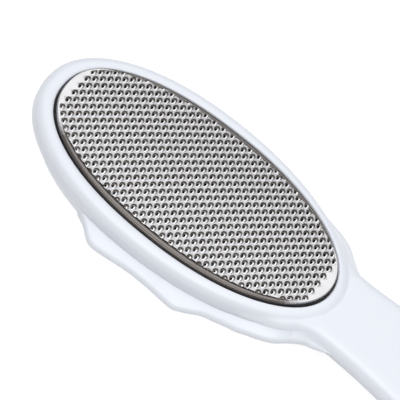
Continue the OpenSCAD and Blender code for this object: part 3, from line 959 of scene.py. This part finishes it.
# Each face of the edge gets its painted tone of shade, highlight or reflection.
cells = [divmod(min(face.vertices), len(edge_rows)) for face in skirt.data.polygons]
etch_and_light_marks = skirt.data.attributes.new("etched", "FLOAT", "FACE")
etch_and_light_marks.data.foreach_set("value", [edge_tones[cell] for cell in cells])
skirt = welded("skirt", [skirt], 0.003)
alone(sheet, skirt)
bpy.ops.object.join()
plate = bpy.context.view_layer.objects.active
plate.name = "steel_file_plate"
measured(plate)
finished(plate, 30)
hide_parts("file_plate")
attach(plate, "cartridge")

# %% [markdown]
# ## Materials
#
# A colour is written as the hex code that a picture would show, and one function turns it
# into the linear values that the shader counts in. Nodes could be wired by hand in the
# editor. In code one small helper adds a node, sets its values and links it.

# %% Colour and nodes
def linear(hex_code):
    """A colour for the shader from its sRGB hex code."""
    parts = [int(hex_code[i:i + 2], 16) / 255 for i in (1, 3, 5)]
    return [p / 12.92 if p <= 0.04045 else ((p + 0.055) / 1.055) ** 2.4 for p in parts] + [1]


def material(name, **settings):
    """A new material, its node tree and its shader, with the shader's own values set."""
    mat = bpy.data.materials.new(name)
    mat.use_nodes = True
    shader = mat.node_tree.nodes["Principled BSDF"]
    for socket, value in settings.items():
        shader.inputs[socket.replace("_", " ")].default_value = value
    print("material", name)
    return mat, mat.node_tree, shader


def add_node(tree, kind, links=(), **settings):
    """Adds a node with its settings; links are (input name or number, output socket)."""
    node = tree.nodes.new(kind)
    for key, value in settings.items():
        if key in node.inputs:
            node.inputs[key].default_value = value
        else:
            setattr(node, key, value)
    for name, socket in links:
        tree.links.new(socket, node.inputs[name])
    return node


def wear(piece, mat):
    """Gives a piece or a carried-over node one material."""
    piece.data.materials.clear()
    piece.data.materials.append(mat)


print("mid grey in linear values:", [round(v, 3) for v in linear("#808080")])


# %% [markdown]
# No real surface has the same gloss all over: handling, the mould's polish and rolling
# leave it in soft patches. A picture of smudges would do, but a cloud of noise on the
# object's own coordinates needs no picture and fits every piece. A second, much finer
# noise gives mouldings the relief of the mould's grain.

# %% Grain
def grain(tree, shader, cells, low, high, depth=0.0, fine=0.0, stretch=(1, 1, 1)):
    """Patches of gloss from low to high roughness, cells to the metre, and, with a
    depth in metres, a relief of fine cells to the metre."""
    coords = add_node(tree, "ShaderNodeTexCoord")
    along = add_node(tree, "ShaderNodeMapping", [("Vector", coords.outputs["Object"])],
                     Scale=stretch)
    cloud = add_node(tree, "ShaderNodeTexNoise", [("Vector", along.outputs["Vector"])],
                     Scale=cells, Detail=3.0)
    gloss = add_node(tree, "ShaderNodeMapRange", [("Value", cloud.outputs["Fac"])], **{
        "From Min": 0.3, "From Max": 0.7, "To Min": low, "To Max": high})
    tree.links.new(gloss.outputs["Result"], shader.inputs["Roughness"])
    if depth:
        relief = add_node(tree, "ShaderNodeTexNoise", [("Vector", along.outputs["Vector"])],
                          Scale=fine, Detail=2.0)
        bump = add_node(tree, "ShaderNodeBump", [("Height", relief.outputs["Fac"])],
                        Strength=0.5, Distance=depth)
        tree.links.new(bump.outputs["Normal"], shader.inputs["Normal"])


print("100 cells to the metre are", 1000 / 100, "mm apart")

# %% [markdown]
# ### White plastic
#
# The mouldings are ABS, which is injection moulded in a polished steel mould. It could be
# a plain white, but the real one is a cool white that is slightly blue, and its soft
# gloss shows the mould's faint grain where light grazes it.

# %% White moulded ABS
# A semi-gloss skin: a soft bright line on every round edge, and no sharp reflection.
# Gloss patches 11 mm apart; the mould's grain is 0.1 mm in life and 1.1 mm here, so that
# it shows in the picture, and 0.008 mm deep.
white_abs, tree, shader = material("white_abs_moulded", Base_Color=linear("#E8ECF4"), IOR=1.53)
grain(tree, shader, 90.0, 0.27, 0.36, depth=0.000008, fine=900.0)
for piece in (upper, tray, back_piece):
    wear(piece, white_abs)

# %% [markdown]
# ### Etched steel, with painted light and shade
#
# The sheet is stainless steel, rolled bright and then etched with acid. One grey metal
# would lose the teeth against each other at this size. So the number that each face
# carries picks the metal's colour: the land's own grey, a painted highlight on the near
# slopes, and painted shade on the far flanks and in the holes.

# %% Etched stainless sheet
# Clean rolled steel with a satin gloss, its patches 25 mm long in the rolling direction
# and 6 mm across. The ramp's near white is a painted highlight, its brownish grey on the
# flanks and its near black in the holes are painted shade, and its pale grey is the land's own.
TONES = ((0.0, "#F2F2F3"), (LAND_TONE, "#C8C8CB"), (DARK_TONE, "#7B7571"), (1.0, "#0E0D0D"))
steel, tree, shader = material("stainless_sheet_etched", Metallic=1.0)
# The face's value picks a painted highlight, the land's own grey or painted shade.
etched = add_node(tree, "ShaderNodeAttribute", attribute_name="etched")
tint = add_node(tree, "ShaderNodeValToRGB", [("Fac", etched.outputs["Fac"])])
stops = tint.color_ramp.elements
stops[0].position, stops[1].position = TONES[0][0], TONES[-1][0]
for place, _ in TONES[1:-1]:
    stops.new(place)
for stop, (_, tone) in zip(stops, TONES):
    stop.color = linear(tone)
tree.links.new(tint.outputs["Color"], shader.inputs["Base Color"])
grain(tree, shader, 160.0, 0.18, 0.3, stretch=(0.25, 1, 1))
wear(plate, steel)

# %% [markdown]
# ### The carrier and the screws
#
# The carrier under the sheet is guessed to be black acetal, which is moulded and has a
# matt grain, because only a dark gap shows round the plate. Both it and the three
# zinc-plated screws keep the construction's own solids, so they only get a finish.

# %% Black moulded acetal and zinc-plated steel
# Acetal is a waxy black that scatters what light reaches the gap; its grain of 0.7 mm is
# drawn coarser than the real one, so that it shows.
carrier_mat, tree, shader = material("black_pom_moulded", Base_Color=linear("#2B2A2A"))
grain(tree, shader, 300.0, 0.42, 0.58, depth=0.00002, fine=1500.0)
wear(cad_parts["plate_carrier"], carrier_mat)
# Zinc plating is a warm pale grey with a slightly cloudy shine, 1.4 mm from cloud to cloud.
screw_mat, tree, shader = material("steel_screw_zinc_plated", Base_Color=linear("#B9B7B2"),
                                   Metallic=1.0)
grain(tree, shader, 700.0, 0.24, 0.4)
for name in ("neck_screw", "grip_screw", "tail_screw"):
    wear(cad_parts[name], screw_mat)

# %% [markdown]
# ## The camera
#
# The picture looks down on the plate at about 55 degrees, from the near side, with the
# head turned so that it runs from upper left to lower right. A camera could be aimed by
# eye. This one was fitted to the lattice of teeth, and its place and its three axes are
# written down. The long lens keeps the oval nearly free of perspective.

# %% The camera
CAMERA_AT = (-29.0, -429.0, 637.49)
RIGHT, UP = (0.7838, 0.5378, 0.3107), (-0.6179, 0.6253, 0.4766)
BACKWARDS = (0.062, -0.5655, 0.8224)
LENS, SENSOR_W = 274.66, 36
scene.view_settings.view_transform = "Standard"
cam = bpy.data.objects.new("camera", bpy.data.cameras.new("camera"))
scene.collection.objects.link(cam)
scene.camera = cam
cam.data.lens, cam.data.sensor_width = LENS, SENSOR_W
cam.data.clip_start, cam.data.clip_end = 0.01, 20
turn = Matrix([RIGHT, UP, BACKWARDS]).transposed().to_4x4()
cam.matrix_world = Matrix.Translation(Vector(CAMERA_AT) * MM) @ turn
print("camera", round(Vector(CAMERA_AT).length), "mm from the middle of the object")

# %% [markdown]
# ## Floor and light
#
# The photo's ground is white. More light would wash out the white plastic, so the floor
# helps itself: it is a pale matt surface that takes the object's shadow, plus a glow that
# only the camera, mirrors and glass see. It throws no light on the object.

# %% The floor
FLOOR_GLOW = 0.72
alone()
bpy.ops.mesh.primitive_plane_add(size=3, location=(0, 0, 0))
floor = bpy.context.object
floor.name = "floor"
floor_mat, tree, shader = material("pale_floor", Base_Color=linear("#D2D2D2"), Roughness=0.9)
path = add_node(tree, "ShaderNodeLightPath").outputs
seen = path["Is Camera Ray"]
for kind in ("Is Glossy Ray", "Is Transmission Ray"):
    seen = add_node(tree, "ShaderNodeMath", [(0, seen), (1, path[kind])],
                    operation="MAXIMUM").outputs[0]
amount = add_node(tree, "ShaderNodeMath", [(0, seen)], operation="MULTIPLY")
amount.inputs[1].default_value = FLOOR_GLOW
glow = add_node(tree, "ShaderNodeEmission", [("Strength", amount.outputs[0])],
                Color=linear("#FFFFFF"))
both = add_node(tree, "ShaderNodeAddShader", [(0, shader.outputs[0]), (1, glow.outputs[0])])
tree.links.new(both.outputs[0], tree.nodes["Material Output"].inputs["Surface"])
wear(floor, floor_mat)

# %% [markdown]
# The light is that of a product photo: a wide softbox overhead, a smaller one on the
# near side that draws the bright line along the rim, and a dim white surround that fills
# the shadows. A sun would give hard shadows that the photo doesn't have.

# %% The lamps and the surround
SOFTBOXES = (("overhead", (0.0, 0.05, 1.3), 2.4, 16.4), ("key", (0.0, -0.6, 1.2), 1.0, 6.3))
SURROUND = 0.3
for name, place, size, watts in SOFTBOXES:
    lamp = bpy.data.objects.new(name, bpy.data.lights.new(name, "AREA"))
    scene.collection.objects.link(lamp)
    lamp.data.size, lamp.data.energy = size, watts
    lamp.location = place
    lamp.rotation_euler = Vector(place).to_track_quat("Z", "Y").to_euler()
scene.world = bpy.data.worlds.new("world")
scene.world.use_nodes = True
surround = scene.world.node_tree.nodes["Background"]
surround.inputs["Color"].default_value = (1, 1, 1, 1)
surround.inputs["Strength"].default_value = SURROUND
print(len(SOFTBOXES), "softboxes, surround", SURROUND)
